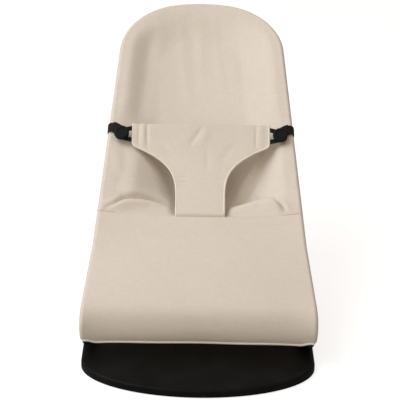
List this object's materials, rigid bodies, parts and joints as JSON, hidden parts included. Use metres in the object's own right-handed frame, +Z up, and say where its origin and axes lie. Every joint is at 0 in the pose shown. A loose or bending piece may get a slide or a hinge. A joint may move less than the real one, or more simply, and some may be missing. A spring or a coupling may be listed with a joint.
{
  "type": "bouncer seat",
  "caption": "Folding baby bouncer seat: sprung rod frame with a cloth sling and buttoned restraint, on a low base with a front plate and a notched support bar.",
  "frame": {"origin": "bottom centre of the bounding box, on the floor under the middle of the seat at rest", "axes": "+Z up, +X to the right as seen from the front, +Y from the front plate towards the head"},
  "size_m": [0.3946, 0.7899, 0.4418],
  "materials": {
    "cover_cloth": "woven cotton, beige",
    "webbing": "black woven webbing",
    "rod": "black powder coat",
    "moulded": "fine satin texture, black",
    "button": "moulded black",
    "grip": "black rubber",
    "fastener": "blackened steel"
  },
  "bodies": {
    "base": {"front_plate": "moulded", "plate_pads": "grip", "base_frame": "rod", "rod_clamps": "fastener", "clamp_screws": "fastener", "hinge_block_left": "moulded", "hinge_block_right": "moulded", "hinge_screws": "fastener", "hinge_pin_left": "fastener", "hinge_pin_right": "fastener", "rack_left": "moulded", "rack_right": "moulded", "rack_screws": "fastener", "rear_foot_left": "grip", "rear_foot_right": "grip"},
    "seat": {"seat_frame": "rod", "seat_knuckle_left": "moulded", "seat_knuckle_right": "moulded", "support_bracket_left": "moulded", "support_bracket_right": "moulded", "support_pin_left": "fastener", "support_pin_right": "fastener", "bracket_screws": "fastener", "seat_cover": "cover_cloth", "leg_panel": "cover_cloth", "head_pocket": "cover_cloth", "button_strap_left": "webbing", "button_strap_right": "webbing", "button_left": "button", "button_right": "button"},
    "support": {"support_bar": "rod", "foot_sleeve_left": "grip", "foot_sleeve_right": "grip"},
    "restraint": {"restraint_panel": "cover_cloth", "strap_loop_left": "webbing", "strap_loop_right": "webbing"}
  },
  "joints": [
    {"name": "recline", "type": "hinge", "parent": "base", "child": "seat", "pos_m": [0, -0.23, 0.028], "axis": [1, 0, 0], "range_deg": [-33, 14.4]},
    {"name": "support_swing", "type": "hinge", "parent": "seat", "child": "support", "pos_m": [0, -0.03898, 0.20126], "axis": [1, 0, 0], "range_deg": [-28.8, 66]},
    {"name": "restraint_open", "type": "hinge", "parent": "seat", "child": "restraint", "pos_m": [0, -0.10709, 0.19517], "axis": [1, 0, 0], "range_deg": [0, 150], "deforming": ["strap_loop_left", "strap_loop_right"]}
  ],
  "couplings": [
    {"joint": "support_swing", "follows": "recline", "ratio": -2}
  ]
}
